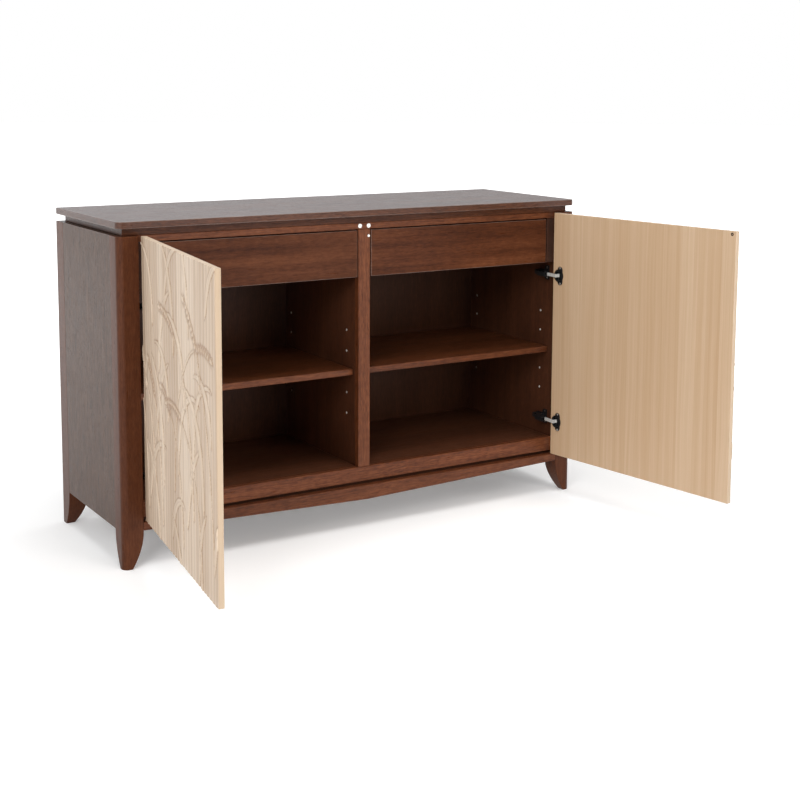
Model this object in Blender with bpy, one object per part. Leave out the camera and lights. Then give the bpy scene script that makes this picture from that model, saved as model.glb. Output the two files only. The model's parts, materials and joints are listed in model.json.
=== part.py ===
"""Two-door sideboard cabinet on tapered feet.

A thin slab floats on a recessed neck above a case with square corner posts. Two inset doors swing on
concealed cup hinges, two drawers run on telescopic slides behind them, and each bay has one shelf.
Metres, +Z up, front towards -Y. The origin is on the floor, under the middle of the box that holds the
cabinet with both doors open.
"""

from math import cos, pi, radians, sin

import bmesh
import bpy
from mathutils import Vector

# Overall size
WIDTH = 1.470
DEPTH = 0.490
HEIGHT = 0.914

# Slab and neck
SLAB_THICKNESS = 0.018
CORNER_RADIUS = 0.018
NECK_HEIGHT = 0.0195
NECK_INSET = 0.020

# Case boards
POST_SIDE = 0.057
BOARD = 0.018
SIDE_THICKNESS = 0.019
LINER_THICKNESS = 0.019
RAIL_THICKNESS = 0.020
DIVIDER_THICKNESS = 0.038
BACK_THICKNESS = 0.012
BACK_INSET = 0.004

# Base and feet
FOOT_SIDE = 0.025
SKIRT_HEIGHT = 0.100
APRON_DROP = 0.020
APRON_HEIGHT = 0.022
LEDGE_DEPTH = 0.045
REVEAL = 0.007
REVEAL_SETBACK = 0.010
BOTTOM_RAIL_HEIGHT = 0.0425
TAPER_STEPS = 8

# Doors, shown open
DOOR_THICKNESS = 0.018
DOOR_OPEN = radians(98.0)
DOOR_GAP = 0.002
DOOR_FLOOR_GAP = 0.003
DOOR_TOP_GAP = 0.0005
MEETING_GAP = 0.003
LATCH_GAP = 0.003
PIVOT_INSET = 0.0015

# Concealed hinges
LOWER_HINGE_HEIGHT = 0.230
UPPER_HINGE_DROP = 0.0375
CUP_RADIUS = 0.0172
CUP_DEPTH = 0.0115
CUP_WALL = 0.0016
CUP_FROM_EDGE = 0.0225
FLANGE_THICKNESS = 0.0012
FLANGE_RIM = 0.0023
FLANGE_BAR_WIDTH = 0.020
FLANGE_BAR_LENGTH = 0.057
CUP_SCREW_OFFSET = 0.006
CUP_SCREW_SPREAD = 0.024
CUP_PIN_RADIUS = 0.0012
CUP_PIN_FROM_EDGE = 0.016
CUP_PIN_DEPTH = 0.006
LINK_HEIGHT = 0.010
LINK_THICKNESS = 0.0025
LINK_EYE_RADIUS = 0.0032
LINK_RISE = 0.013
LINK_REACH = 0.046
LINK_LEAN = 0.003
PLATE_THICKNESS = 0.002
PLATE_LENGTH = 0.052
PLATE_HEIGHT = 0.018
PLATE_WING_WIDTH = 0.016
PLATE_WING_HEIGHT = 0.044
PLATE_SCREW_SPREAD = 0.016
PLATE_SETBACK = 0.037
PLATE_BLOCK_HEIGHT = 0.0174
PLATE_BLOCK_LENGTH = 0.034
ARM_SHEET = 0.0014
ARM_STANDOFF = 0.0375
ARM_NOSE_GAP = 0.002
ARM_FRONT_LENGTH = 0.038
ARM_CRANK_LENGTH = 0.010
ARM_LENGTH = 0.072

# Screw holes
SCREW_HOLE_RADIUS = 0.0017
SCREW_HOLE_DEPTH = 0.0115

# Touch latches
LATCH_SPACING = 0.028
LATCH_TUBE_RADIUS = 0.0047
LATCH_TUBE_FLOOR = 0.0008
LATCH_TUBE_LENGTH = 0.048
LATCH_PLUNGER_RADIUS = 0.0029
LATCH_PRESS = 0.0022
LATCH_TIP_CHAMFER = 0.0009
BUMPER_RADIUS = 0.0040
BUMPER_THICKNESS = 0.0020
BUMPER_CHAMFER = 0.0012
BUMPER_DROP = 0.0290

# Drawers
DRAWER_FRONT_HEIGHT = 0.133
DRAWER_FRONT_THICKNESS = 0.019
DRAWER_GAP = 0.003
DRAWER_SPACER = 0.032
DRAWER_SIDE_THICKNESS = 0.012
DRAWER_SIDE_HEIGHT = 0.098
DRAWER_SIDE_RISE = 0.030
DRAWER_BACK_GAP = 0.0234
DRAWER_BOTTOM_THICKNESS = 0.006
DRAWER_BOTTOM_RISE = 0.008
GROOVE_DEPTH = 0.006

# Telescopic slides
SLIDE_WIDTH = 0.0127
SLIDE_HEIGHT = 0.045
SLIDE_SETBACK = 0.010
SLIDE_RISE = 0.035
SLIDE_WEB = 0.0012
SLIDE_LIP = 0.0024
SLIDE_PLAY = 0.0004
SLIDE_STEP = 0.020

# Shelves and their pins
SHELF_TOP = 0.4543
SHELF_THICKNESS = 0.018
SHELF_SETBACK = 0.028
SHELF_END_GAP = 0.002
SHELF_BACK_GAP = 0.008
PIN_PITCH = 0.061
PIN_ROWS = 5
PIN_FRONT_SETBACK = 0.068
PIN_BACK_SETBACK = 0.0355
PIN_HOLE_RADIUS = 0.0027
PIN_HOLE_DEPTH = 0.010
PIN_SEAT = 0.0005
PIN_LEAF = 0.0015
PIN_TAB_LENGTH = 0.012
PIN_TAB_WIDTH = 0.009
PIN_TAB_DROP = 0.0038

# Clearances and rounding
GAP = 0.0003
EDGE_ROUNDING = 0.0010
OVERCUT = 0.002
ROUND_SIDES = 8
LATCH_SIDES = 12
CUP_SIDES = 20
BAR_END_STEPS = 6
SLAB_CORNER_STEPS = 5
POST_CORNER_STEPS = 4

# Places that follow from the sizes above; X and Y are measured from the middle of the case
HALF_WIDTH = WIDTH / 2
HALF_DEPTH = DEPTH / 2
CASE_TOP = HEIGHT - SLAB_THICKNESS - NECK_HEIGHT
BAY_HALF = HALF_WIDTH - POST_SIDE
RAIL_FRONT = -HALF_DEPTH + DOOR_THICKNESS + LATCH_GAP
RAIL_BACK = RAIL_FRONT + RAIL_THICKNESS
BACK_FRONT = HALF_DEPTH - BACK_INSET - BACK_THICKNESS
INNER_BACK = BACK_FRONT - GAP
APRON_TOP = SKIRT_HEIGHT + APRON_HEIGHT
BOTTOM_RAIL_BASE = APRON_TOP + REVEAL
FLOOR_TOP = BOTTOM_RAIL_BASE + BOTTOM_RAIL_HEIGHT
CEILING = CASE_TOP - BOARD
DIVIDER_HALF = DIVIDER_THICKNESS / 2

# Doors: positions on a door are measured from its axis, which lies in its outer face
DOOR_WIDTH = BAY_HALF - DOOR_GAP - MEETING_GAP / 2
DOOR_BASE = APRON_TOP + DOOR_FLOOR_GAP
DOOR_TOP = CASE_TOP - DOOR_TOP_GAP
PIVOT_X = BAY_HALF - DOOR_GAP - PIVOT_INSET
FREE_EDGE = DOOR_WIDTH - PIVOT_INSET
DOOR_REACH = FREE_EDGE * sin(DOOR_OPEN) - DOOR_THICKNESS * cos(DOOR_OPEN)
CASE_Y = DOOR_REACH / 2

# Hinges and latches; the upper hinge hangs below the drawer
DRAWER_TOP = CEILING - DRAWER_GAP
DRAWER_BASE = DRAWER_TOP - DRAWER_FRONT_HEIGHT
HINGE_HEIGHTS = {"lower": LOWER_HINGE_HEIGHT, "upper": DRAWER_BASE - UPPER_HINGE_DROP}
PLATE_Y = -HALF_DEPTH + DOOR_THICKNESS + PLATE_SETBACK
CUP_ALONG = CUP_FROM_EDGE - PIVOT_INSET
CUP_FLOOR = DOOR_THICKNESS - CUP_DEPTH
CUP_PIN_ALONG = CUP_PIN_FROM_EDGE - PIVOT_INSET
CUP_PIN_Y = DOOR_THICKNESS - CUP_PIN_DEPTH
CUP_SCREW_ALONG = CUP_ALONG + CUP_SCREW_OFFSET
FLANGE_SEAT = DOOR_THICKNESS + GAP
FLANGE_TOP = FLANGE_SEAT + FLANGE_THICKNESS
LATCH_HEIGHT = CEILING + BOARD / 2

# Drawers and slides
DRAWER_FAR_WALL = BAY_HALF - DRAWER_SPACER
DRAWER_CENTRE = (DIVIDER_HALF + DRAWER_FAR_WALL) / 2
DRAWER_OPENING = DRAWER_FAR_WALL - DIVIDER_HALF
DRAWER_BOX_FRONT = RAIL_FRONT + DRAWER_FRONT_THICKNESS + GAP
DRAWER_BOX_DEPTH = INNER_BACK - DRAWER_BACK_GAP - DRAWER_BOX_FRONT
DRAWER_SIDE_BASE = DRAWER_BASE + DRAWER_SIDE_RISE
SLIDE_MIDDLE = DRAWER_SIDE_BASE + SLIDE_RISE
SLIDE_LENGTH = DRAWER_BOX_DEPTH - SLIDE_SETBACK
INNER_SLIDE_LENGTH = SLIDE_LENGTH - SLIDE_STEP

# Shelf pins
PIN_YS = (RAIL_FRONT + PIN_FRONT_SETBACK, INNER_BACK - PIN_BACK_SETBACK)
PIN_SHELF_ROW = SHELF_TOP - SHELF_THICKNESS - GAP + PIN_TAB_DROP

# Looks: colour, roughness, metallic
WALNUT = ((0.075, 0.026, 0.013), 0.38, 0.0)
WALNUT_DARK = ((0.028, 0.011, 0.006), 0.50, 0.0)
MAPLE = ((0.58, 0.41, 0.25), 0.45, 0.0)
STEEL_BLACK = ((0.012, 0.012, 0.013), 0.40, 0.6)
STEEL_BRIGHT = ((0.72, 0.71, 0.69), 0.25, 1.0)
PLASTIC_WHITE = ((0.80, 0.80, 0.77), 0.40, 0.0)
PLASTIC_DARK = ((0.03, 0.03, 0.03), 0.50, 0.0)

SIDES = {"left": -1, "right": 1}
ENDS = {"front": -1, "back": 1}


def clear_scene():
    """Removes every object that is in the scene."""
    for thing in list(bpy.data.objects):
        bpy.data.objects.remove(thing)


def finish(name, look):
    """Makes one piece's own material."""
    colour, roughness, metallic = look
    material = bpy.data.materials.new(name + "_finish")
    material.use_nodes = True
    shader = material.node_tree.nodes["Principled BSDF"]
    shader.inputs["Base Color"].default_value = (*colour, 1.0)
    shader.inputs["Roughness"].default_value = roughness
    shader.inputs["Metallic"].default_value = metallic
    return material


def carrier(name, parent=None, at=(0.0, 0.0, 0.0), turn=0.0):
    """An empty that carries pieces; turn is about +Z."""
    empty = bpy.data.objects.new(name, None)
    empty.location = at
    empty.rotation_euler = (0.0, 0.0, turn)
    empty.parent = parent
    bpy.context.collection.objects.link(empty)
    return empty


def mesh_object(name, shape, parent):
    """Turns a bmesh into an object, with every face pointing out."""
    bmesh.ops.recalc_face_normals(shape, faces=shape.faces[:])
    mesh = bpy.data.meshes.new(name)
    shape.to_mesh(mesh)
    shape.free()
    thing = bpy.data.objects.new(name, mesh)
    thing.parent = parent
    bpy.context.collection.objects.link(thing)
    return thing


def piece(name, shape, look, parent, rounding=0.0, smooth=False):
    """A named sub-part with its own material, and lightly eased edges if asked."""
    thing = mesh_object(name, shape, parent)
    thing.data.materials.append(finish(name, look))
    if smooth:
        thing.data.shade_smooth()
        thing.data.set_sharp_from_angle(angle=radians(35))
    if rounding:
        bevel = thing.modifiers.new("eased_edges", "BEVEL")
        bevel.width = rounding
        bevel.segments = 1
        bevel.limit_method = "ANGLE"
        bevel.angle_limit = radians(40)
    return thing


def combine(target, shape, operation):
    """Cuts a shape from a piece, or joins it on, with a guide object that isn't part of the model."""
    guide = mesh_object(f"{target.name}_{operation.lower()}_guide", shape, target.parent)
    guide.hide_render = True
    guide.display_type = "WIRE"
    boolean = target.modifiers.new(operation.lower(), "BOOLEAN")
    boolean.object = guide
    boolean.operation = operation
    boolean.solver = "EXACT"


def bridge(shape, loops):
    """Joins each loop of vertices to the next with faces; a loop may be a single vertex."""
    for first, second in zip(loops, loops[1:]):
        count = max(len(first), len(second))
        for i in range(count):
            j = (i + 1) % count
            corners = (
                first[i % len(first)],
                first[j % len(first)],
                second[j % len(second)],
                second[i % len(second)],
            )
            shape.faces.new(list(dict.fromkeys(corners)))


def add_prism(shape, outline, low, high, along="z"):
    """Adds an outline extruded from low to high, its points given in the plane square to along."""
    place = {
        "x": lambda u, v, w: (w, u, v),
        "y": lambda u, v, w: (u, w, v),
        "z": lambda u, v, w: (u, v, w),
    }[along]
    loops = [[shape.verts.new(place(u, v, w)) for u, v in outline] for w in (low, high)]
    bridge(shape, loops)
    for loop in loops:
        shape.faces.new(loop)


def rectangle(low, high):
    """The four corners, in order, of a rectangle in X and Y."""
    return [(low[0], low[1]), (high[0], low[1]), (high[0], high[1]), (low[0], high[1])]


def add_box(shape, low, high):
    """Adds a box between two opposite corners, given in either order."""
    add_prism(shape, rectangle(low, high), low[2], high[2])


def add_turned(shape, profile, centre, along, sides=ROUND_SIDES):
    """Adds a turned solid; profile holds (radius, distance along the axis), from one pole to the other."""
    axis = Vector({"x": (1, 0, 0), "y": (0, 1, 0), "z": (0, 0, 1)}[along])
    across = Vector((1, 0, 0) if along == "z" else (0, 0, 1))
    third = axis.cross(across)
    turns = [2 * pi * (step + 0.5) / sides for step in range(sides)]
    loops = []
    for radius, distance in profile:
        middle = Vector(centre) + axis * distance
        ring = [middle + radius * (cos(t) * across + sin(t) * third) for t in turns] if radius else [middle]
        loops.append([shape.verts.new(point) for point in ring])
    bridge(shape, loops)


def add_cylinder(shape, radius, low, high, centre, along, sides=ROUND_SIDES):
    """Adds a plain cylinder from low to high on an axis through centre."""
    add_turned(shape, [(0.0, low), (radius, low), (radius, high), (0.0, high)], centre, along, sides)


def board(name, low, high, look, parent, rounding=EDGE_ROUNDING):
    """A plain board between two corners."""
    shape = bmesh.new()
    add_box(shape, low, high)
    return piece(name, shape, look, parent, rounding)


def arc(centre, radius, start, end, steps):
    """Points along an arc, both ends included."""
    angles = [start + (end - start) * i / steps for i in range(steps + 1)]
    return [(centre[0] + radius * cos(a), centre[1] + radius * sin(a)) for a in angles]


def top_slab(case):
    """The slab, with rounded front corners and square back corners."""
    x, y, r = HALF_WIDTH, HALF_DEPTH, CORNER_RADIUS
    outline = [(x, y), (-x, y)]
    outline += arc((-x + r, -y + r), r, pi, 1.5 * pi, SLAB_CORNER_STEPS)
    outline += arc((x - r, -y + r), r, 1.5 * pi, 2 * pi, SLAB_CORNER_STEPS)
    shape = bmesh.new()
    add_prism(shape, outline, HEIGHT - SLAB_THICKNESS, HEIGHT)
    piece("top_slab", shape, WALNUT, case, EDGE_ROUNDING)


def neck_board(case):
    """The board that holds the slab off the case, set in from its edges."""
    x, y = HALF_WIDTH - NECK_INSET, HALF_DEPTH - NECK_INSET
    top = HEIGHT - SLAB_THICKNESS - GAP
    board("neck_board", (-x, -y, CASE_TOP + GAP), (x, y, top), WALNUT_DARK, case, 0.0)


def post_outline(side, end, height):
    """A post's section at one height: its two inner faces curve in towards the foot."""
    fall = max(0.0, 1.0 - height / SKIRT_HEIGHT)
    width = POST_SIDE - (POST_SIDE - FOOT_SIDE) * fall**2
    x, y = side * HALF_WIDTH, end * HALF_DEPTH
    inner_x, inner_y = x - side * width, y - end * width
    corner = [(x, y)]
    if end < 0:
        rounded = arc((0.0, 0.0), CORNER_RADIUS, 0.0, -pi / 2, POST_CORNER_STEPS)
        corner = [(x + side * (u - CORNER_RADIUS), y + CORNER_RADIUS + v) for u, v in rounded]
    return corner + [(inner_x, y), (inner_x, inner_y), (x, inner_y)]


def corner_post(name, side, end, case):
    """A square post that runs down to the floor as a tapered foot, rebated for the bay liner."""
    heights = [SKIRT_HEIGHT * step / TAPER_STEPS for step in range(TAPER_STEPS + 1)] + [CASE_TOP]
    shape = bmesh.new()
    loops = [[shape.verts.new((x, y, z)) for x, y in post_outline(side, end, z)] for z in heights]
    bridge(shape, loops)
    shape.faces.new(loops[0])
    shape.faces.new(loops[-1])
    post = piece(name, shape, WALNUT, case)
    rebate = bmesh.new()
    seat = RAIL_FRONT - GAP if end < 0 else BACK_FRONT
    low = (side * (BAY_HALF - OVERCUT), seat, BOTTOM_RAIL_BASE - GAP)
    behind = end * (HALF_DEPTH - POST_SIDE - OVERCUT)
    high = (side * (BAY_HALF + LINER_THICKNESS + GAP), behind, CASE_TOP + OVERCUT)
    add_box(rebate, low, high)
    combine(post, rebate, "DIFFERENCE")


def pin_holes(shape, face_x, inward):
    """Adds the bores of a wall's two columns of pin holes; inward is the way into the wall along X."""
    for y in PIN_YS:
        for row in range(PIN_ROWS):
            step = row - PIN_ROWS // 2
            if step:
                place = (face_x, y, PIN_SHELF_ROW + PIN_PITCH * step)
                add_cylinder(shape, PIN_HOLE_RADIUS, -inward * OVERCUT, inward * PIN_HOLE_DEPTH, place, "x")


def shelf_pins(shape, face_x, inward):
    """Adds a wall's two spade pins, each a short tab that the shelf rests on."""
    root, tip = face_x + inward * PIN_SEAT, face_x - inward * PIN_TAB_LENGTH
    tab_top = PIN_SHELF_ROW - PIN_TAB_DROP
    tab_low = tab_top - PIN_LEAF
    foot = (face_x - inward * PIN_LEAF, tab_low - PIN_TAB_DROP)
    outline = [(root, foot[1]), (root, tab_top), (tip, tab_top), (tip, tab_low), (foot[0], tab_low), foot]
    for y in PIN_YS:
        add_prism(shape, outline, y - PIN_TAB_WIDTH / 2, y + PIN_TAB_WIDTH / 2, "y")


def side_of_case(word, side, case):
    """The outer panel between two posts, and the liner that is the bay's wall."""
    reach = HALF_DEPTH - POST_SIDE - GAP
    outer, inner = side * HALF_WIDTH, side * (HALF_WIDTH - SIDE_THICKNESS)
    board(f"{word}_side_panel", (outer, -reach, SKIRT_HEIGHT), (inner, reach, CASE_TOP), WALNUT, case, 0.0)
    wall = side * BAY_HALF
    low = (wall, RAIL_FRONT, BOTTOM_RAIL_BASE)
    high = (side * (BAY_HALF + LINER_THICKNESS), INNER_BACK, CASE_TOP)
    liner = board(f"{word}_side_liner", low, high, WALNUT_DARK, case, 0.0)
    holes, pins = bmesh.new(), bmesh.new()
    pin_holes(holes, wall, side)
    for z in HINGE_HEIGHTS.values():
        for step in (-1, 1):
            place = (wall, PLATE_Y, z + step * PLATE_SCREW_SPREAD)
            add_cylinder(holes, SCREW_HOLE_RADIUS, -side * OVERCUT, side * SCREW_HOLE_DEPTH, place, "x")
    combine(liner, holes, "DIFFERENCE")
    shelf_pins(pins, wall, side)
    combine(liner, pins, "UNION")


def base(case):
    """Bottom panel and its front rail, a recessed moulding under it, the V-cut apron and the rear rail."""
    x = BAY_HALF - GAP
    apron_front, apron_back = -HALF_DEPTH, -HALF_DEPTH + RAIL_THICKNESS
    shape = bmesh.new()
    low_edge = [(x, SKIRT_HEIGHT), (0.0, SKIRT_HEIGHT - APRON_DROP), (-x, SKIRT_HEIGHT)]
    add_prism(shape, [(-x, APRON_TOP), (x, APRON_TOP)] + low_edge, apron_front, apron_back, "y")
    piece("front_apron", shape, WALNUT, case, EDGE_ROUNDING)

    shape = bmesh.new()
    ledge_front, ledge_back = apron_back + GAP, apron_back + LEDGE_DEPTH
    lip_front = RAIL_FRONT + REVEAL_SETBACK
    lip_back, lip_top = lip_front + BOARD, BOTTOM_RAIL_BASE - GAP
    outline = [
        (ledge_front, APRON_TOP - BOARD),
        (ledge_back, APRON_TOP - BOARD),
        (ledge_back, APRON_TOP),
        (lip_back, APRON_TOP),
        (lip_back, lip_top),
        (lip_front, lip_top),
        (lip_front, APRON_TOP),
        (ledge_front, APRON_TOP),
    ]
    add_prism(shape, outline, -x, x, "x")
    piece("recessed_base_moulding", shape, WALNUT_DARK, case)

    board("bottom_front_rail", (-x, RAIL_FRONT, BOTTOM_RAIL_BASE), (x, RAIL_BACK, FLOOR_TOP), WALNUT, case)
    low = (-x, RAIL_BACK + GAP, FLOOR_TOP - BOARD)
    board("bottom_panel", low, (x, INNER_BACK, FLOOR_TOP), WALNUT_DARK, case)
    low, rail_top = (-x, INNER_BACK - RAIL_THICKNESS, SKIRT_HEIGHT), FLOOR_TOP - BOARD - GAP
    board("rear_rail", low, (x, INNER_BACK, rail_top), WALNUT_DARK, case)


def top_and_back(case):
    """Top panel with the two latch bores in its front edge, and the back panel."""
    x = BAY_HALF - GAP
    panel = board("top_panel", (-x, RAIL_FRONT, CEILING), (x, INNER_BACK, CASE_TOP), WALNUT, case)
    bores = bmesh.new()
    bore, length = LATCH_TUBE_RADIUS + GAP, LATCH_TUBE_LENGTH + GAP
    for side in SIDES.values():
        place = (side * LATCH_SPACING / 2, RAIL_FRONT, LATCH_HEIGHT)
        add_cylinder(bores, bore, -OVERCUT, length, place, "y", LATCH_SIDES)
    combine(panel, bores, "DIFFERENCE")
    back = BACK_FRONT + BACK_THICKNESS
    board("back_panel", (-x, BACK_FRONT, SKIRT_HEIGHT), (x, back, CASE_TOP), WALNUT_DARK, case)


def centre(case):
    """Centre stile with its door bumper, and the divider behind it with its pins and pin holes."""
    x, low, high = DIVIDER_HALF, FLOOR_TOP + GAP, CEILING - GAP
    board("centre_stile", (-x, RAIL_FRONT, low), (x, RAIL_BACK, high), WALNUT, case)
    front = RAIL_BACK + GAP
    divider = board("centre_divider", (-x, front, low), (x, INNER_BACK, high), WALNUT_DARK, case, 0.0)
    holes, pins = bmesh.new(), bmesh.new()
    for side in SIDES.values():
        pin_holes(holes, side * x, -side)
        shelf_pins(pins, side * x, -side)
    combine(divider, holes, "DIFFERENCE")
    combine(divider, pins, "UNION")
    bumper = bmesh.new()
    top, chamfer, radius = -BUMPER_THICKNESS, BUMPER_CHAMFER, BUMPER_RADIUS
    place = (LATCH_SPACING / 2, RAIL_FRONT, LATCH_HEIGHT - BUMPER_DROP)
    profile = [(0.0, top), (radius - chamfer, top), (radius, top + chamfer), (radius, -GAP), (0.0, -GAP)]
    add_turned(bumper, profile, place, "y", LATCH_SIDES)
    piece("stile_bumper", bumper, PLASTIC_WHITE, case, smooth=True)


def shelf(word, side, case):
    """An adjustable shelf that rests on four pins."""
    low = (side * (DIVIDER_HALF + SHELF_END_GAP), RAIL_FRONT + SHELF_SETBACK, SHELF_TOP - SHELF_THICKNESS)
    high = (side * (BAY_HALF - SHELF_END_GAP), INNER_BACK - SHELF_BACK_GAP, SHELF_TOP)
    board(f"{word}_shelf", low, high, WALNUT, case)


def touch_latch(word, side, case):
    """A spring latch in the top panel's edge: a tube, and a plunger that travels in it."""
    place = (side * LATCH_SPACING / 2, RAIL_FRONT, LATCH_HEIGHT)
    rod, length = LATCH_PLUNGER_RADIUS, LATCH_TUBE_LENGTH
    bore, floor = rod + GAP, length - LATCH_TUBE_FLOOR
    tube, plunger = bmesh.new(), bmesh.new()
    inside = [(0.0, floor), (bore, floor), (bore, 0.0)]
    outside = [(LATCH_TUBE_RADIUS, 0.0), (LATCH_TUBE_RADIUS, length), (0.0, length)]
    add_turned(tube, inside + outside, place, "y", LATCH_SIDES)
    piece(f"{word}_latch_tube", tube, PLASTIC_DARK, case)
    travel = carrier(f"{word}_latch_travel", case, place)
    tip, tail, chamfer = -(LATCH_GAP - GAP), floor - LATCH_PRESS - GAP, LATCH_TIP_CHAMFER
    profile = [(0.0, tip), (rod - chamfer, tip), (rod, tip + chamfer), (rod, tail), (0.0, tail)]
    add_turned(plunger, profile, (0.0, 0.0, 0.0), "y", LATCH_SIDES)
    piece(f"{word}_latch_plunger", plunger, PLASTIC_WHITE, travel, smooth=True)


def door_panel(word, side, swing):
    """The door, bored for its two hinge cups and their screws."""
    low = (side * PIVOT_INSET, 0.0, DOOR_BASE)
    panel = board(f"{word}_door_panel", low, (-side * FREE_EDGE, DOOR_THICKNESS, DOOR_TOP), MAPLE, swing)
    bores = bmesh.new()
    top = DOOR_THICKNESS + OVERCUT
    for z in HINGE_HEIGHTS.values():
        cup_at = (-side * CUP_ALONG, 0.0, z)
        add_cylinder(bores, CUP_RADIUS + GAP, CUP_FLOOR - GAP, top, cup_at, "y", CUP_SIDES)
        for step in (-1, 1):
            hole = (-side * CUP_SCREW_ALONG, 0.0, z + step * CUP_SCREW_SPREAD)
            add_cylinder(bores, SCREW_HOLE_RADIUS, DOOR_THICKNESS - SCREW_HOLE_DEPTH, top, hole, "y")
    combine(panel, bores, "DIFFERENCE")


def hinge_cup(name, side, height):
    """A turned cup with a barred flange, and across its mouth the pin that the link turns on."""
    centre_x, bar_x, pin_x = -side * CUP_ALONG, -side * CUP_SCREW_ALONG, -side * CUP_PIN_ALONG
    cup_at = (centre_x, 0.0, 0.0)
    rim = CUP_RADIUS + FLANGE_RIM
    dish, bar, mouth, pin = bmesh.new(), bmesh.new(), bmesh.new(), bmesh.new()
    outside = [(0.0, CUP_FLOOR), (CUP_RADIUS - CUP_WALL, CUP_FLOOR), (CUP_RADIUS, CUP_FLOOR + CUP_WALL)]
    flange = [(CUP_RADIUS, FLANGE_SEAT), (rim, FLANGE_SEAT), (rim, FLANGE_TOP), (0.0, FLANGE_TOP)]
    add_turned(dish, outside + flange, cup_at, "y", CUP_SIDES)
    half_bar, half_length = FLANGE_BAR_WIDTH / 2, FLANGE_BAR_LENGTH / 2
    outline = arc((bar_x, half_length - half_bar), half_bar, 0.0, pi, BAR_END_STEPS)
    outline += arc((bar_x, half_bar - half_length), half_bar, pi, 2 * pi, BAR_END_STEPS)
    add_prism(bar, outline, FLANGE_SEAT + GAP / 2, FLANGE_TOP - GAP / 2, "y")
    bore, top = CUP_RADIUS - CUP_WALL, FLANGE_TOP + OVERCUT
    add_cylinder(mouth, bore, CUP_FLOOR + CUP_WALL, top, cup_at, "y", CUP_SIDES)
    for step in (-1, 1):
        hole = (bar_x, 0.0, step * CUP_SCREW_SPREAD)
        add_cylinder(mouth, SCREW_HOLE_RADIUS, CUP_FLOOR, top, hole, "y")
    offset = abs(pin_x - centre_x)
    nearest = (bore**2 - (offset - CUP_PIN_RADIUS) ** 2) ** 0.5
    farthest = (CUP_RADIUS**2 - (offset + CUP_PIN_RADIUS) ** 2) ** 0.5
    chord = (nearest + farthest) / 2
    add_cylinder(pin, CUP_PIN_RADIUS, -chord, chord, (pin_x, CUP_PIN_Y, 0.0), "z")
    cup = piece(name, dish, STEEL_BLACK, height)
    combine(cup, bar, "UNION")
    combine(cup, mouth, "DIFFERENCE")
    combine(cup, pin, "UNION")


def strip_outline(points, half):
    """The outline of a bent strip of even width along a run of points."""
    ways = [(after - before).normalized() for before, after in zip(points, points[1:])]
    edges = ([], [])
    for i, here in enumerate(points):
        first, second = ways[max(i - 1, 0)], ways[min(i, len(ways) - 1)]
        middle = (first + second).normalized()
        normal = Vector((-middle.y, middle.x)) * half / middle.dot(second)
        edges[0].append(here + normal)
        edges[1].append(here - normal)
    return [tuple(point) for point in edges[0] + edges[1][::-1]]


def hinge_link(name, side, pivot):
    """A bent link that turns on the cup's pin and runs back into the arm; its carrier is on the pin."""
    rise = Vector((-side * sin(DOOR_OPEN), cos(DOOR_OPEN))) * LINK_RISE
    points = [Vector((0.0, 0.0)), rise, rise + Vector((side * LINK_LEAN, LINK_REACH))]
    low, high = -LINK_HEIGHT / 2, LINK_HEIGHT / 2
    strip, eye, hole = bmesh.new(), bmesh.new(), bmesh.new()
    add_prism(strip, strip_outline(points, LINK_THICKNESS / 2), low, high)
    add_cylinder(eye, LINK_EYE_RADIUS, low, high, (0.0, 0.0, 0.0), "z", LATCH_SIDES)
    add_cylinder(hole, CUP_PIN_RADIUS + GAP, low - OVERCUT, high + OVERCUT, (0.0, 0.0, 0.0), "z")
    link = piece(name, strip, STEEL_BRIGHT, pivot)
    combine(link, eye, "UNION")
    combine(link, hole, "DIFFERENCE")


def arm_outlines():
    """The cranked arm's outer and hollow outlines, as distance from the wall and Y."""
    nose = RAIL_FRONT + ARM_NOSE_GAP
    bend, tail = nose + ARM_FRONT_LENGTH, nose + ARM_LENGTH
    crank = bend + ARM_CRANK_LENGTH
    rear = GAP + PLATE_THICKNESS + PLATE_BLOCK_HEIGHT + ARM_SHEET
    skirt = ARM_STANDOFF - LINK_THICKNESS - LINK_RISE
    outer = [
        (ARM_STANDOFF, nose),
        (ARM_STANDOFF, bend),
        (rear, crank),
        (rear, tail),
        (rear / 2, tail),
        (rear / 2, bend),
        (skirt, bend - ARM_CRANK_LENGTH),
        (skirt, nose),
    ]
    hollow = [
        (ARM_STANDOFF - ARM_SHEET, nose - OVERCUT),
        (ARM_STANDOFF - ARM_SHEET, bend - ARM_SHEET / 2),
        (rear - ARM_SHEET, crank - ARM_SHEET / 2),
        (rear - ARM_SHEET, tail + OVERCUT),
        (0.0, tail + OVERCUT),
        (0.0, nose - OVERCUT),
    ]
    return outer, hollow


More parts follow.
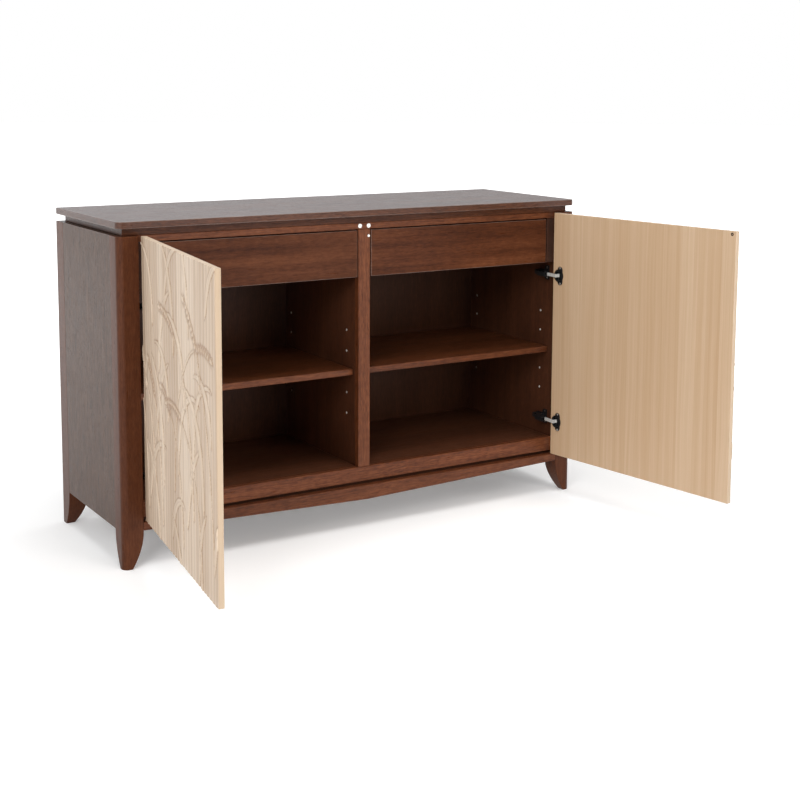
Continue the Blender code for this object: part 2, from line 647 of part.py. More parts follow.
def hinge_arm(name, side, height):
    """A cranked channel that guides the link's tail, on a block and a winged plate on the bay's wall."""
    outer, inner = arm_outlines()
    tail = outer[3][1]
    plate_face = GAP + PLATE_THICKNESS
    web_middle = outer[3][0] - ARM_SHEET / 2
    inner_half = LINK_HEIGHT / 2 + GAP
    channel, hollow, block, plate, holes = (bmesh.new() for _ in range(5))
    for shape, outline, half in ((channel, outer, inner_half + ARM_SHEET), (hollow, inner, inner_half)):
        add_prism(shape, [(side * (BAY_HALF - d), y) for d, y in outline], -half, half)

    half, half_wing = PLATE_HEIGHT / 2, PLATE_WING_HEIGHT / 2
    wing_front, wing_back = PLATE_Y - PLATE_WING_WIDTH / 2, PLATE_Y + PLATE_WING_WIDTH / 2
    front = wing_front - GAP
    back = front + PLATE_LENGTH
    upper = [
        (back, half),
        (PLATE_Y + PLATE_WING_WIDTH, half),
        (wing_back, half_wing),
        (wing_front, half_wing),
        (front, half),
    ]
    outline = upper + [(y, -z) for y, z in reversed(upper)]
    add_prism(plate, outline, side * (BAY_HALF - GAP), side * (BAY_HALF - plate_face), "x")

    block_half = inner_half + ARM_SHEET / 2
    block_back = min(back, tail) - GAP
    block_low = (side * (BAY_HALF - plate_face / 2), block_back - PLATE_BLOCK_LENGTH, -block_half)
    add_box(block, block_low, (side * (BAY_HALF - web_middle), block_back, block_half))
    for step in (-1, 1):
        place = (side * BAY_HALF, PLATE_Y, step * PLATE_SCREW_SPREAD)
        add_cylinder(holes, SCREW_HOLE_RADIUS, side * OVERCUT, -side * (plate_face + OVERCUT), place, "x")

    arm = piece(name, channel, STEEL_BLACK, height)
    combine(arm, hollow, "DIFFERENCE")
    combine(arm, block, "UNION")
    combine(arm, plate, "UNION")
    combine(arm, holes, "DIFFERENCE")


def door(word, side, case):
    """A door with all that it carries, on an empty that lies on its hinge axis, and its fixed arms."""
    swing = carrier(f"{word}_door_axis", case, (side * PIVOT_X, -HALF_DEPTH, 0.0), side * DOOR_OPEN)
    door_panel(word, side, swing)
    for level, z in HINGE_HEIGHTS.items():
        name = f"{word}_{level}_hinge"
        pin = (-side * CUP_PIN_ALONG, CUP_PIN_Y, z)
        hinge_cup(f"{name}_cup", side, carrier(f"{name}_on_door", swing, (0.0, 0.0, z)))
        hinge_link(f"{name}_link", side, carrier(f"{name}_link_axis", swing, pin, -side * DOOR_OPEN))
        hinge_arm(f"{name}_arm", side, carrier(f"{name}_on_wall", case, (0.0, 0.0, z)))


def channel_section(web_near, web_far, lip_end, half_height):
    """A slide member's C section: its web, and two lips that reach to lip_end."""
    inner = half_height - SLIDE_LIP
    return [
        (web_near, -half_height),
        (lip_end, -half_height),
        (lip_end, -inner),
        (web_far, -inner),
        (web_far, inner),
        (lip_end, inner),
        (lip_end, half_height),
        (web_near, half_height),
    ]


def slide_sections():
    """The three nested slide members, as distance from the wall and height; each lies inside the last."""
    half, step = SLIDE_HEIGHT / 2, SLIDE_LIP + SLIDE_PLAY
    cabinet_web = GAP + SLIDE_WEB
    middle_near = cabinet_web + SLIDE_PLAY
    middle_web = middle_near + SLIDE_WEB
    drawer_near = SLIDE_WIDTH - GAP
    drawer_web = drawer_near - SLIDE_WEB
    middle_lip = drawer_web - SLIDE_PLAY
    return {
        "cabinet": channel_section(GAP, cabinet_web, middle_lip - SLIDE_WEB, half),
        "middle": channel_section(middle_near, middle_web, middle_lip, half - step),
        "drawer": channel_section(drawer_near, drawer_web, middle_web + SLIDE_PLAY, half - 2 * step),
    }


def drawer_slides(word, side, carriers):
    """The slides on both sides of a drawer, each with three members that nest in one another."""
    lengths = {"cabinet": SLIDE_LENGTH, "middle": INNER_SLIDE_LENGTH, "drawer": INNER_SLIDE_LENGTH}
    half = DRAWER_OPENING / 2
    for place, away in (("inner", -side), ("outer", side)):
        for member, section in slide_sections().items():
            points = [(away * (half - d), SLIDE_MIDDLE + h) for d, h in section]
            shape = bmesh.new()
            add_prism(shape, points, DRAWER_BOX_FRONT, DRAWER_BOX_FRONT + lengths[member], "y")
            piece(f"{word}_{place}_{member}_slide", shape, STEEL_BLACK, carriers[member])


def drawer_box(word, run):
    """A drawer's glued sides and back, its front, and its bottom, which slides in under the back."""
    outer = DRAWER_OPENING / 2 - SLIDE_WIDTH
    inner = outer - DRAWER_SIDE_THICKNESS
    front, back = DRAWER_BOX_FRONT, DRAWER_BOX_FRONT + DRAWER_BOX_DEPTH
    inner_back = back - DRAWER_SIDE_THICKNESS
    base, groove_low = DRAWER_SIDE_BASE, DRAWER_SIDE_BASE + DRAWER_BOTTOM_RISE
    groove_high = groove_low + DRAWER_BOTTOM_THICKNESS + 2 * GAP
    groove_x = inner + GROOVE_DEPTH
    shape, groove, notch, front_groove = (bmesh.new() for _ in range(4))
    outline = [
        (-outer, front),
        (-inner, front),
        (-inner, inner_back),
        (inner, inner_back),
        (inner, front),
        (outer, front),
        (outer, back),
        (-outer, back),
    ]
    add_prism(shape, outline, base, base + DRAWER_SIDE_HEIGHT)
    add_box(groove, (-groove_x, front - OVERCUT, groove_low), (groove_x, back + OVERCUT, groove_high))
    add_box(notch, (-inner, inner_back - OVERCUT, base - OVERCUT), (inner, back + OVERCUT, groove_low + GAP))
    box = piece(f"{word}_drawer_box", shape, WALNUT_DARK, run)
    combine(box, groove, "DIFFERENCE")
    combine(box, notch, "DIFFERENCE")

    front_half = DRAWER_OPENING / 2 - DRAWER_GAP
    panel_back = RAIL_FRONT + DRAWER_FRONT_THICKNESS
    low, high = (-front_half, RAIL_FRONT, DRAWER_BASE), (front_half, panel_back, DRAWER_TOP)
    panel = board(f"{word}_drawer_front", low, high, WALNUT, run)
    groove_front, past = panel_back - GROOVE_DEPTH, panel_back + OVERCUT
    add_box(front_groove, (-groove_x, groove_front, groove_low), (groove_x, past, groove_high))
    combine(panel, front_groove, "DIFFERENCE")
    low = (-groove_x + GAP, groove_front + GAP, groove_low + GAP)
    high = (groove_x - GAP, back, groove_high - GAP)
    board(f"{word}_drawer_bottom", low, high, WALNUT_DARK, run, 0.0)


def drawer(word, side, case):
    """A drawer with its slides, and the spacer that keeps it clear of the open door."""
    middle = (side * DRAWER_CENTRE, 0.0, 0.0)
    fixed = carrier(f"{word}_slide_place", case, middle)
    middle_run = carrier(f"{word}_middle_run", case, middle)
    run = carrier(f"{word}_drawer_run", case, middle)
    drawer_slides(word, side, {"cabinet": fixed, "middle": middle_run, "drawer": run})
    drawer_box(word, run)
    low = (side * DRAWER_FAR_WALL, RAIL_FRONT, DRAWER_BASE)
    high = (side * (BAY_HALF - GAP), INNER_BACK, CEILING - GAP)
    board(f"{word}_drawer_spacer", low, high, WALNUT_DARK, case)


def build():
    """Builds the whole cabinet."""
    clear_scene()
    case = carrier("case", None, (0.0, CASE_Y, 0.0))
    top_slab(case)
    neck_board(case)
    base(case)
    top_and_back(case)
    centre(case)
    for word, side in SIDES.items():
        for end_word, end in ENDS.items():
            corner_post(f"{end_word}_{word}_post", side, end, case)
        side_of_case(word, side, case)
        shelf(word, side, case)
        touch_latch(word, side, case)
        drawer(word, side, case)
        door(word, side, case)
    bpy.context.view_layer.update()


build()
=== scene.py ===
import json
from math import cos, pi, radians, sin

import bmesh
import bpy
import numpy as np
from mathutils import Matrix, Vector

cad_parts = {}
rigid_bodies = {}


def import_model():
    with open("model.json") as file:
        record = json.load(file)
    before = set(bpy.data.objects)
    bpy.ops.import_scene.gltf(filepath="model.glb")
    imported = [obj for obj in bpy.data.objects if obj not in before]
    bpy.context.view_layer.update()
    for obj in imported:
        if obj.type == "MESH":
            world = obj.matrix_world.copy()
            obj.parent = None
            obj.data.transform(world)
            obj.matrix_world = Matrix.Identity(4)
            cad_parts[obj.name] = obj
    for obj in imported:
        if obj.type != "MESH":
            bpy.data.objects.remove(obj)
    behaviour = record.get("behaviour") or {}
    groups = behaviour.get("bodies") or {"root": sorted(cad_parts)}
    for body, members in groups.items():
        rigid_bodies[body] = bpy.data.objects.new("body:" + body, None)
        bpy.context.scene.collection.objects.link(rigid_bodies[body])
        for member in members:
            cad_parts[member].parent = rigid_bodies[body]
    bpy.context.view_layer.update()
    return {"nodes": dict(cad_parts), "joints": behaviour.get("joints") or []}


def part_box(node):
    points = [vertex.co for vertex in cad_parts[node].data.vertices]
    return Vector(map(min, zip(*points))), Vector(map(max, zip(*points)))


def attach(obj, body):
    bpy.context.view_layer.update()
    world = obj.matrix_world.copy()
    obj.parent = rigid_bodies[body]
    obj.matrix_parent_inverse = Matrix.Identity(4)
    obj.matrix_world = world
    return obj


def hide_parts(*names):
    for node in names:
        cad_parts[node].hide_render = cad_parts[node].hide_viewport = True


for thing in list(bpy.data.objects):
    bpy.data.objects.remove(thing)

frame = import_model()

# Real sizes that the frame's boxes don't give, in metres
CORNER_RADIUS = 0.018
SKIRT_HEIGHT = 0.100
FOOT_SIDE = 0.025
CARVED_LAYER = 0.0050
CARVED_FLOOR = 0.0004
CARVING_DEPTH = 0.0033
MOAT_WIDTH = 0.0031
# How far the painted shade beside a carved form reaches
SHADE_WIDTH = 0.0038
FLUTE_RISE = 0.00065
FLUTE_PITCH = 0.0235
STAVE_WIDTH = 0.047
CUP_RADIUS = 0.0175
CUP_BORE_DEPTH = 0.0118
CUP_ALONG = 0.021
CUP_SCREW_ALONG = 0.027
CUP_SCREW_SPREAD = 0.024
PIN_FRONT_SETBACK = 0.068
PIN_BACK_SETBACK = 0.0355
PIN_PITCH = 0.061
PIN_TAB_LENGTH = 0.012
PIN_TAB_WIDTH = 0.009
PIN_TAB_DROP = 0.0038
PIN_LEAF = 0.0015
SHELF_PLAY = 0.0003
PLATE_SCREW_SPREAD = 0.016
LATCH_PLAY = 0.0002
LATCH_COLLAR = 0.0062
STRIKE_FROM_EDGE = 0.0125
STRIKE_RADIUS = 0.0046
CUP_FLANGE = 0.0015
PLATE_THICK = 0.0020
PLATE_SCREW_SETBACK = 0.034
REBATE_REACH = 0.0195
CLEARANCE = 0.0003
SPARE = 0.004

# Rounded edges, in metres
SLAB_EDGE = 0.0016
DRAWER_EDGE = 0.0012
CARVED_EDGE = 0.0012
BOARD_EDGE = 0.0008
TAB_EDGE = 0.00025
PLASTIC_EDGE = 0.0002
METAL_EDGE = 0.00015

# Steps along curves
SLAB_ARC_STEPS = 14
POST_ARC_STEPS = 12
FOOT_STEPS = 24

# The carving: its grid, its cuts, and its seeds as length, width and rise
RANDOM_START = {"left": 11, "right": 29}
GRID_ACROSS = 0.0020
GRID_UP = 0.0024
GOUGE_DEPTH = 0.00008
GOUGE_PITCH = 0.0061
MOAT_DEPTH = 0.0011
# The rise at which a carved form's painted highlight is at its brightest
BRIGHTEST_RISE = 0.0022
BLADES = 24
EARS = 8
GOLDEN_SHARE = 0.618
SEED_ROWS = 9
SEED = (0.0185, 0.0078, 0.0022)
SEED_FROM_STALK = 0.0052
TIP_SEED = (0.020, 0.0080, 0.0023)
TIP_BEYOND_STALK = 0.012

SIDES = {"left": -1, "right": 1}

joints = {joint["name"]: joint for joint in frame["joints"]}
slab_low, slab_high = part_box("top_slab")
case_half = slab_high.x
case_front, case_back = slab_low.y, slab_high.y
case_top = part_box("front_left_post")[1].z
bay_half = -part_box("front_left_post")[1].x
post_side = case_half - bay_half
rail_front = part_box("centre_stile")[0].y
divider_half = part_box("centre_stile")[1].x
bay_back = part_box("left_side_liner")[1].y
shelf_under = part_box("left_shelf")[0].z
latch_low, latch_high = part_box("right_latch_plunger")
latch_z = (latch_low.z + latch_high.z) / 2
PIN_ROWS_Z = [shelf_under - SHELF_PLAY + PIN_TAB_DROP + step * PIN_PITCH for step in (-2, -1, 1, 2)]
PIN_YS = (rail_front + PIN_FRONT_SETBACK, bay_back - PIN_BACK_SETBACK)


# Node graphs

class Graph:
    """A material whose nodes are added by short calls."""

    def __init__(self, name):
        self.material = bpy.data.materials.new(name)
        self.material.use_nodes = True
        self.tree = self.material.node_tree
        self.shader = self.tree.nodes["Principled BSDF"]

    def node(self, kind, values=(), **settings):
        made = self.tree.nodes.new(kind)
        for key, value in settings.items():
            setattr(made, key, value)
        for socket, value in values:
            self.feed(made.inputs[socket], value)
        return made

    def feed(self, socket, value):
        if isinstance(value, bpy.types.NodeSocket):
            self.tree.links.new(value, socket)
        else:
            socket.default_value = value

    def math(self, operation, first, second=0.0, third=0.0):
        made = self.node("ShaderNodeMath", operation=operation)
        for socket, value in zip(made.inputs, (first, second, third)):
            self.feed(socket, value)
        return made.outputs[0]

    def vector(self, operation, first, second):
        made = self.node("ShaderNodeVectorMath", operation=operation)
        self.feed(made.inputs[0], first)
        self.feed(made.inputs[1], second)
        return made.outputs["Value" if operation == "DOT_PRODUCT" else "Vector"]

    def noise(self, place, scale, detail=2.0, roughness=0.5):
        values = [("Vector", place), ("Scale", scale), ("Detail", detail), ("Roughness", roughness)]
        return self.node("ShaderNodeTexNoise", values).outputs["Fac"]

    def spread(self, value, low, high, to_low=0.0, to_high=1.0):
        values = [("Value", value), ("From Min", low), ("From Max", high)]
        values += [("To Min", to_low), ("To Max", to_high)]
        return self.node("ShaderNodeMapRange", values, clamp=True).outputs[0]

    def ramp(self, value, stops):
        made = self.node("ShaderNodeValToRGB", [("Fac", value)])
        while len(made.color_ramp.elements) < len(stops):
            made.color_ramp.elements.new(0.5)
        for element, (place, colour) in zip(made.color_ramp.elements, stops):
            element.position = place
            element.color = (*colour, 1.0)
        return made.outputs["Color"]

    def mix(self, share, first, second, blend="MIX"):
        made = self.node("ShaderNodeMix", data_type="RGBA", blend_type=blend)
        self.feed(made.inputs[0], share)
        for socket, value in ((made.inputs[6], first), (made.inputs[7], second)):
            self.feed(socket, (*value, 1.0) if isinstance(value, tuple) and len(value) == 3 else value)
        return made.outputs[2]

    def combine(self, x, y, z):
        return self.node("ShaderNodeCombineXYZ", [("X", x), ("Y", y), ("Z", z)]).outputs[0]

    def surface(self, **values):
        for key, value in values.items():
            self.feed(self.shader.inputs[key.replace("_", " ")], value)

    def bump(self, height, distance, strength=1.0):
        values = [("Strength", strength), ("Distance", distance), ("Height", height)]
        self.feed(self.shader.inputs["Normal"], self.node("ShaderNodeBump", values).outputs[0])


def grain_space(graph, along, offset):
    """The place in a piece as distances across, through and along its grain."""
    place = graph.node("ShaderNodeTexCoord").outputs["Object"]
    moved = graph.vector("ADD", place, offset)
    axes = {"x": ("y", "z", "x"), "y": ("x", "z", "y"), "z": ("x", "y", "z")}[along]
    unit = {"x": (1, 0, 0), "y": (0, 1, 0), "z": (0, 0, 1)}
    return [graph.vector("DOT_PRODUCT", moved, unit[axis]) for axis in axes]


def stretched(graph, space, across, along):
    """Grain space scaled unlike across and along, as a vector for a texture."""
    u, v, w = space
    pairs = ((u, across), (v, across), (w, along))
    return graph.combine(*[graph.math("MULTIPLY", value, scale) for value, scale in pairs])


# Tones from the darkest grain to the lightest, as places on a ramp and linear colours
WALNUT_TONES = [
    (0.0, (0.046, 0.0125, 0.0048)),
    (0.45, (0.102, 0.0300, 0.0110)),
    (1.0, (0.180, 0.0590, 0.0230)),
]
SIDE_TONES = [
    (0.0, (0.034, 0.0150, 0.0078)),
    (0.45, (0.066, 0.0300, 0.0155)),
    (1.0, (0.118, 0.0570, 0.0310)),
]
DARK_TONES = [
    (0.0, (0.020, 0.0075, 0.0040)),
    (0.5, (0.044, 0.0155, 0.0075)),
    (1.0, (0.075, 0.0270, 0.0125)),
]
# Lighter tones for rounded edges: partly rubbed wear, partly a painted highlight for the light the edges
# catch
WORN_EDGE_HIGHLIGHT_TONES = [(0.0, (0.09, 0.052, 0.040)), (0.5, (0.15, 0.098, 0.080)), (1.0, (0.24, 0.180, 0.155))]
offsets = iter(np.random.default_rng(7).uniform(-3.0, 3.0, (200, 3)))


def shaded(tones, share):
    return [(place, tuple(value * share for value in colour)) for place, colour in tones]


def stained_wood(
    name, along, tones=WALNUT_TONES, roughness=0.30, ior=1.30, figured=0.40, grain_depth=0.00012,
    contrast=1.0, flecked=0.50,
):
    """Dark stained wood: wavy figure, fine streaks, short open pores and a semi-gloss lacquer, rougher in
    rubbed patches.
    """
    graph = Graph(name)
    offset = tuple(float(value) for value in next(offsets))
    space = grain_space(graph, along, offset)
    wander = graph.noise(stretched(graph, space, 5.0, 1.6), 1.0, 2.0)
    space[0] = graph.math("ADD", space[0], graph.math("MULTIPLY", wander, 0.05))
    figure = graph.noise(stretched(graph, space, 26.0, 1.3), 1.0, 3.0)
    streaks = graph.noise(stretched(graph, space, 240.0, 8.0), 1.0, 4.0, 0.65)
    flecks = graph.noise(stretched(graph, space, 300.0, 42.0), 1.0, 2.0, 0.6)
    mottle = graph.noise(stretched(graph, space, 60.0, 55.0), 1.0, 2.0)
    pores = graph.noise(stretched(graph, space, 1100.0, 80.0), 1.0, 2.0)
    tone = graph.math("MULTIPLY_ADD", figure, figured, graph.math("MULTIPLY", streaks, 0.85 - figured))
    tone = graph.math("MULTIPLY_ADD", flecks, flecked, tone)
    tone = graph.math("MULTIPLY_ADD", mottle, 0.16, graph.math("SUBTRACT", tone, 0.01 + flecked / 2))
    reach = 0.185 / contrast
    colour = graph.ramp(graph.spread(tone, 0.505 - reach, 0.505 + reach), tones)
    open_pore = graph.spread(pores, 0.58, 0.72)
    colour = graph.mix(graph.math("MULTIPLY", open_pore, 0.55), colour, (0.012, 0.004, 0.002))
    wear = graph.noise(stretched(graph, space, 120.0, 18.0), 1.0, 4.0)
    rough = graph.spread(wear, 0.3, 0.7, roughness - 0.03, roughness + 0.05)
    graph.surface(Base_Color=colour, Roughness=graph.math("MULTIPLY_ADD", open_pore, 0.12, rough), IOR=ior)
    height = graph.math("MULTIPLY_ADD", open_pore, -1.0, graph.math("MULTIPLY", streaks, 0.35))
    graph.bump(height, grain_depth)
    return graph.material


def pale_wood(name, tones, carved=False):
    """Pale wood glued from upright staves, each with its own tone, with fine straight grain."""
    graph = Graph(name)
    offset = tuple(float(value) for value in next(offsets))
    place = graph.node("ShaderNodeTexCoord").outputs["Object"]
    across = graph.vector("DOT_PRODUCT", place, (1, 0, 0))
    stave = graph.math("DIVIDE", graph.math("ADD", across, 5.0), STAVE_WIDTH)
    number = graph.math("FLOOR", stave)
    seed = graph.math("ADD", number, offset[0])
    pick = graph.node("ShaderNodeTexWhiteNoise", [("W", seed)], noise_dimensions="1D")
    tone = pick.outputs["Value"]
    space = grain_space(graph, "z", offset)
    space[0] = graph.math("MULTIPLY_ADD", number, 0.37, space[0])
    wander = graph.noise(stretched(graph, space, 8.0, 2.2), 1.0, 2.0)
    space[0] = graph.math("ADD", space[0], graph.math("MULTIPLY", wander, 0.02))
    bands = graph.noise(stretched(graph, space, 75.0, 0.9), 1.0, 2.0, 0.6)
    rings = graph.noise(stretched(graph, space, 240.0, 1.4), 1.0, 3.0, 0.6)
    fibres = graph.noise(stretched(graph, space, 800.0, 14.0), 1.0, 3.0, 0.6)
    blend = graph.math("MULTIPLY_ADD", tone, 0.34 if carved else 0.14, graph.math("MULTIPLY", bands, 0.50))
    blend = graph.math("MULTIPLY_ADD", rings, 0.28, blend)
    blend = graph.math("MULTIPLY_ADD", fibres, 0.20, blend)
    colour = graph.ramp(graph.spread(blend, 0.34, 0.90 if carved else 0.78), tones)
    edge = graph.math("PINGPONG", stave, 0.5)
    seam = graph.spread(edge, 0.0, 0.012, 1.0, 0.0)
    colour = graph.mix(graph.math("MULTIPLY", seam, 0.35), colour, (0.36, 0.20, 0.10))
    if carved:
        # On the carved face: painted shade in the grooves and a painted highlight on the crests, read from
        # the mesh
        groove_shade = graph.node("ShaderNodeAttribute", attribute_name="groove_shade").outputs["Fac"]
        crest_highlight = graph.node("ShaderNodeAttribute", attribute_name="crest_highlight").outputs["Fac"]
        colour = graph.mix(graph.math("MULTIPLY", groove_shade, 0.74), colour, (0.31, 0.180, 0.100))
        colour = graph.mix(graph.math("MULTIPLY", crest_highlight, 0.50), colour, (0.75, 0.62, 0.48))
    wear = graph.noise(stretched(graph, space, 11.0, 7.0), 1.0, 3.0)
    graph.surface(Base_Color=colour, Roughness=graph.spread(wear, 0.3, 0.7, 0.42, 0.52), IOR=1.46)
    graph.bump(graph.math("MULTIPLY_ADD", seam, -1.2, graph.math("MULTIPLY", fibres, 0.5)), 0.00010)
    return graph.material


def metal(name, colour, roughness, metallic=1.0):
    """Plated or painted steel with faint brushing and handling marks."""
    graph = Graph(name)
    place = graph.node("ShaderNodeTexCoord").outputs["Object"]
    brushed = graph.noise(graph.vector("MULTIPLY", place, (900.0, 900.0, 90.0)), 1.0, 2.0)
    marks = graph.noise(place, 160.0, 3.0)
    shade = graph.spread(marks, 0.3, 0.7, 0.86, 1.06)
    tinted = graph.mix(1.0, colour, graph.combine(shade, shade, shade), "MULTIPLY")
    handled = graph.spread(marks, 0.35, 0.75, roughness - 0.04, roughness + 0.08)
    rough = graph.math("MULTIPLY_ADD", brushed, 0.10, handled)
    graph.surface(Base_Color=tinted, Metallic=metallic, Roughness=rough)
    graph.bump(brushed, 0.000004)
    return graph.material


def plastic(name, colour, roughness):
    """Moulded plastic with a faint grain."""
    graph = Graph(name)
    place = graph.node("ShaderNodeTexCoord").outputs["Object"]
    grain = graph.noise(place, 1500.0, 2.0)
    cloud = graph.noise(place, 60.0, 2.0)
    shade = graph.spread(cloud, 0.3, 0.7, 0.94, 1.03)
    tinted = graph.mix(1.0, colour, graph.combine(shade, shade, shade), "MULTIPLY")
    rough = graph.spread(grain, 0.2, 0.8, roughness - 0.05, roughness + 0.05)
    graph.surface(Base_Color=tinted, Roughness=rough)
    graph.bump(grain, 0.00002)
    return graph.material


INNER_MAPLE = [(0.0, (0.505, 0.330, 0.192)), (0.5, (0.560, 0.390, 0.246)), (1.0, (0.630, 0.465, 0.318))]
EDGE_MAPLE = [(0.0, (0.460, 0.335, 0.225)), (0.5, (0.530, 0.400, 0.280)), (1.0, (0.600, 0.470, 0.350))]
CARVED_MAPLE = [(0.0, (0.390, 0.270, 0.180)), (0.5, (0.530, 0.400, 0.290)), (1.0, (0.670, 0.545, 0.425))]

# The rounded edges' wood, lighter and glossier than the boards: rubbed wear and a painted highlight
worn_edge_with_highlight = stained_wood("worn_edge_with_highlight", "x", WORN_EDGE_HIGHLIGHT_TONES, 0.22, 1.5)
bright_steel = metal("bright_steel", (0.72, 0.71, 0.69), 0.25)
satin_nickel = metal("satin_nickel", (0.82, 0.80, 0.76), 0.35, 0.35)
black_steel = metal("black_steel", (0.016, 0.016, 0.017), 0.38, 0.4)
brown_steel = metal("brown_enamel", (0.030, 0.015, 0.009), 0.45, 0.1)
bronze = metal("dark_bronze", (0.035, 0.020, 0.013), 0.40, 0.7)
white_plastic = plastic("white_plastic", (0.95, 0.95, 0.93), 0.35)
dark_plastic = plastic("dark_plastic", (0.03, 0.03, 0.03), 0.5)


# Pieces

def as_mesh(shape, name):
    """Turns a bmesh into a mesh whose faces point out."""
    bmesh.ops.recalc_face_normals(shape, faces=shape.faces[:])
    mesh = bpy.data.meshes.new(name)
    shape.to_mesh(mesh)
    shape.free()
    return mesh


def mesh_piece(name, shape, material, body, place=None, replaces=()):
    """Makes a bmesh a piece that rides a body."""
    return mesh_object(name, as_mesh(shape, name), material, body, place, replaces)


def mesh_object(name, mesh, material, body, place=None, replaces=(), angle=32.0):
    """Makes a mesh a piece that rides a body, smooth but for edges sharper than an angle."""
    mesh.shade_smooth()
    mesh.set_sharp_from_angle(angle=radians(angle))
    thing = bpy.data.objects.new(name, mesh)
    thing.data.materials.clear()
    thing.data.materials.append(material)
    bpy.context.scene.collection.objects.link(thing)
    if place is not None:
        thing.matrix_world = place
    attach(thing, body)
    if replaces:
        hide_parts(*replaces)
    return thing


def round_edges(thing, width, segments=3, angle=30.0, highlit_worn_edges=False):
    """Rounds a piece's sharp edges, with normals that keep its flats flat."""
    bevel = thing.modifiers.new("round_edges", "BEVEL")
    # Flagged edges get the lighter edge wood in a second slot: partly rubbed wear, partly a painted highlight
    if highlit_worn_edges:
        thing.data.materials.append(worn_edge_with_highlight)
        bevel.material = 1
    bevel.width = width
    bevel.segments = segments
    bevel.limit_method = "ANGLE"
    bevel.angle_limit = radians(angle)
    bevel.harden_normals = True
    return thing


def cut(thing, shape):
    """Cuts a shape from a piece and keeps only the result."""
    mesh = as_mesh(shape, "cutter")
    cutter = bpy.data.objects.new("cutter", mesh)
    bpy.context.scene.collection.objects.link(cutter)
    cutter.matrix_world = thing.matrix_world
    boolean = thing.modifiers.new("cut", "BOOLEAN")
    boolean.object = cutter
    boolean.solver = "EXACT"
    bake(thing)
    bpy.data.objects.remove(cutter)
    bpy.data.meshes.remove(mesh)


def bake(thing):
    """Applies a piece's modifiers to its mesh."""
    bpy.context.view_layer.update()
    evaluated = thing.evaluated_get(bpy.context.evaluated_depsgraph_get())
    mesh = bpy.data.meshes.new_from_object(evaluated)
    thing.modifiers.clear()
    thing.data = mesh


def bridge(shape, loops):
    """Joins loops of points by faces, one after the other; a loop of one point is a pole."""
    for first, second in zip(loops, loops[1:]):
        count = max(len(first), len(second))
        for i in range(count):
            j = (i + 1) % count
            near = [first[k % len(first)] for k in (i, j)]
            far = [second[k % len(second)] for k in (j, i)]
            shape.faces.new(list(dict.fromkeys(near + far)))


def add_prism(shape, outline, low, high, along="z"):
    """Adds an outline drawn out along an axis."""
    place = {
        "x": lambda u, v, w: (w, u, v),
        "y": lambda u, v, w: (u, w, v),
        "z": lambda u, v, w: (u, v, w),
    }[along]
    loops = [[shape.verts.new(place(u, v, w)) for u, v in outline] for w in (low, high)]
    bridge(shape, loops)
    for loop in loops:
        shape.faces.new(loop)


def add_box(shape, low, high):
    outline = [(low[0], low[1]), (high[0], low[1]), (high[0], high[1]), (low[0], high[1])]
    add_prism(shape, outline, low[2], high[2])


def add_turned(shape, profile, centre, axis, sides=32):
    """Adds a turned solid; profile holds radius and distance along the axis, from pole to pole."""
    axis = Vector(axis).normalized()
    across = axis.orthogonal().normalized()
    third = axis.cross(across)
    loops = []
    for radius, distance in profile:
        middle = Vector(centre) + axis * distance
        turns = [2 * pi * step / sides for step in range(sides)] if radius else [0.0]
        loops.append([shape.verts.new(middle + radius * (cos(t) * across + sin(t) * third)) for t in turns])
    bridge(shape, loops)


def arc(centre, radius, start, end, steps):
    """Points on an arc."""
    angles = [start + (end - start) * i / steps for i in range(steps + 1)]
    return [(centre[0] + radius * cos(a), centre[1] + radius * sin(a)) for a in angles]


# Slab and posts

def top_slab():
    """The floating slab, with rounded front corners and softened edges."""
    x, front, back, r = case_half, case_front, case_back, CORNER_RADIUS
    outline = [(x, back), (-x, back)]
    outline += arc((-x + r, front + r), r, pi, 1.5 * pi, SLAB_ARC_STEPS)
    outline += arc((x - r, front + r), r, 1.5 * pi, 2 * pi, SLAB_ARC_STEPS)
    shape = bmesh.new()
    add_prism(shape, outline, slab_low.z, slab_high.z)
    material = stained_wood("walnut_slab", "x", shaded(WALNUT_TONES, 0.60), ior=1.47, grain_depth=0.00022)
    slab = mesh_piece("slab_top", shape, material, "cabinet", replaces=["top_slab"])
    round_edges(slab, SLAB_EDGE, highlit_worn_edges=True)


def post_outline(side, end, height):
    """A post's outline at a height: its two inner faces draw in towards the foot."""
    fall = max(0.0, 1.0 - height / SKIRT_HEIGHT)
    width = post_side - (post_side - FOOT_SIDE) * fall**2
    x, y = side * case_half, case_front if end < 0 else case_back
    inner_x, inner_y = x - side * width, y - end * width
    corner = [(x, y)]
    if end < 0:
        rounded = arc((0.0, 0.0), CORNER_RADIUS, 0.0, -pi / 2, POST_ARC_STEPS)
        corner = [(x + side * (u - CORNER_RADIUS), y + CORNER_RADIUS + v) for u, v in rounded]
    return corner + [(inner_x, y), (inner_x, inner_y), (x, inner_y)]


